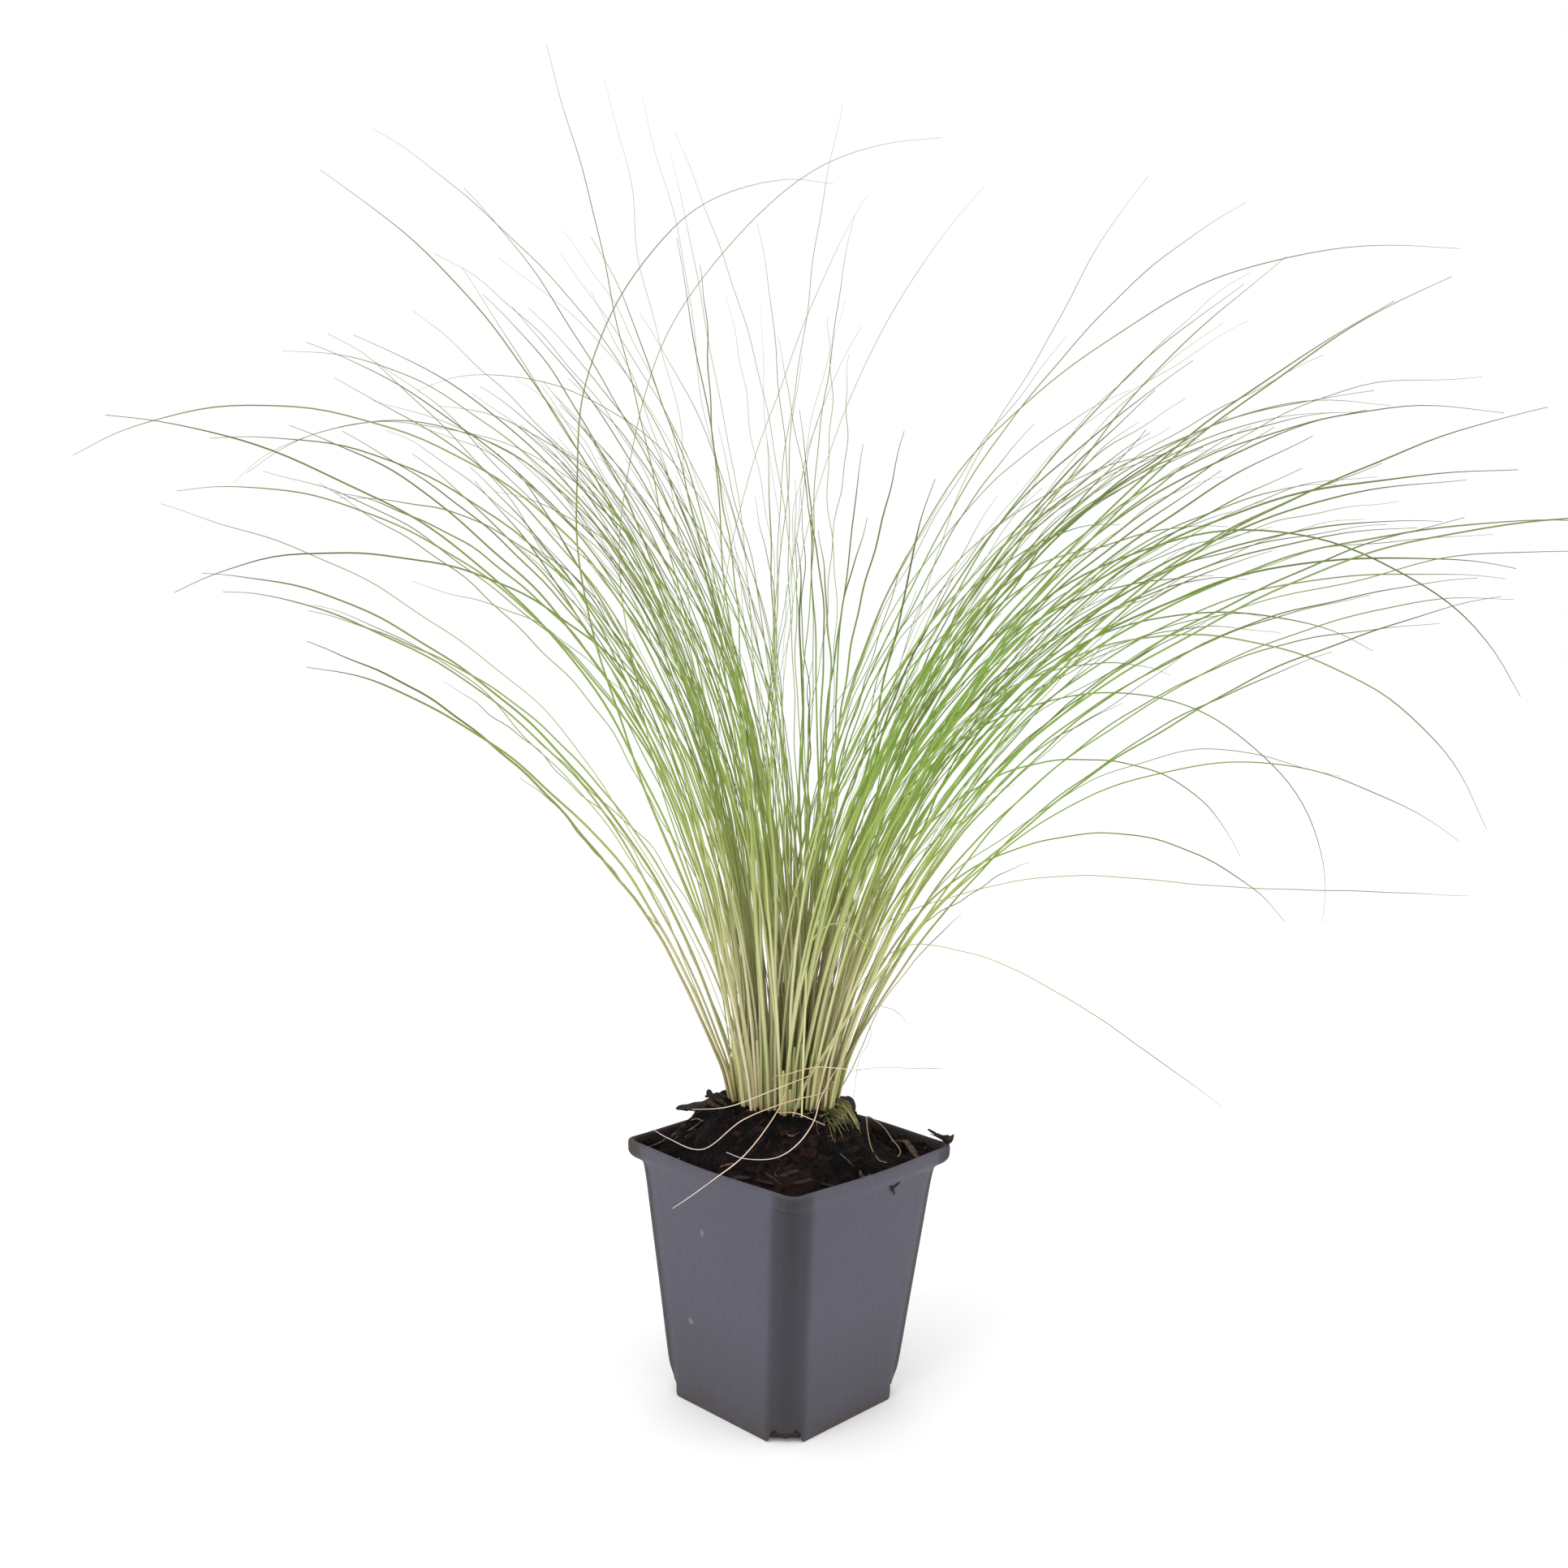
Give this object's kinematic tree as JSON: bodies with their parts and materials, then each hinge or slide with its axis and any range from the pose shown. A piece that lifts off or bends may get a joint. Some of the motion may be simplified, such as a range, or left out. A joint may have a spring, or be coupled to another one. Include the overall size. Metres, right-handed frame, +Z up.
{
  "type": "mexican feather grass in a square nursery pot",
  "caption": "Fountain-shaped clump of hair-fine green grass leaves in two arching lobes, standing in a mound of dark soil in a square grey plastic nursery pot.",
  "frame": {"origin": "middle of the pot's foot, on the surface that the pot stands on", "axes": "+Z up; the pot's sides face along X and Y; the clump's two lobes fall along a line turned 43.8 degrees about +Z from +X"},
  "size_m": [0.5099, 0.4826, 0.4951],
  "materials": {
    "pot": "smooth matt grey moulded plastic with fine upright marks and soil dust",
    "soil": "moist dark peat with fibres and crumbs",
    "grass": "fine satin leaf, straw at the foot and green above, grey-brown at the hair tips",
    "dry_leaf": "dry straw-coloured leaf",
    "bark": "rough dark bark",
    "moss": "soft olive moss"
  },
  "bodies": {
    "root": {"pot": "pot", "soil": "soil", "tuft_01": "grass", "tuft_02": "grass", "tuft_03": "grass", "tuft_04": "grass", "tuft_05": "grass", "tuft_06": "grass", "tuft_07": "grass", "tuft_08": "grass", "tuft_09": "grass", "tuft_10": "grass", "tuft_11": "grass", "tuft_12": "grass", "tuft_13": "grass", "tuft_14": "grass", "tuft_15": "grass", "tuft_16": "grass", "tuft_17": "grass", "tuft_18": "grass", "tuft_19": "grass", "tuft_20": "grass", "tuft_21": "grass", "tuft_22": "grass", "tuft_23": "grass", "tuft_24": "grass", "tuft_25": "grass", "tuft_26": "grass", "tuft_27": "grass", "tuft_28": "grass", "tuft_29": "grass", "tuft_30": "grass", "tuft_31": "grass", "tuft_32": "grass", "tuft_33": "grass", "tuft_34": "grass", "tuft_35": "grass", "tuft_36": "grass", "tuft_37": "grass", "tuft_38": "grass", "tuft_39": "grass", "tuft_40": "grass", "tuft_41": "grass", "tuft_42": "grass", "dry_leaf_1": "dry_leaf", "dry_leaf_2": "dry_leaf", "dry_leaf_3": "dry_leaf", "dry_leaf_4": "dry_leaf", "dry_leaf_5": "dry_leaf", "dry_leaf_6": "dry_leaf", "dry_leaf_7": "dry_leaf", "dry_leaf_8": "dry_leaf", "dry_leaf_9": "dry_leaf", "bark_flake": "bark", "rim_chip": "bark", "bark_knob": "bark", "moss_pad": "moss"}
  },
  "joints": []
}
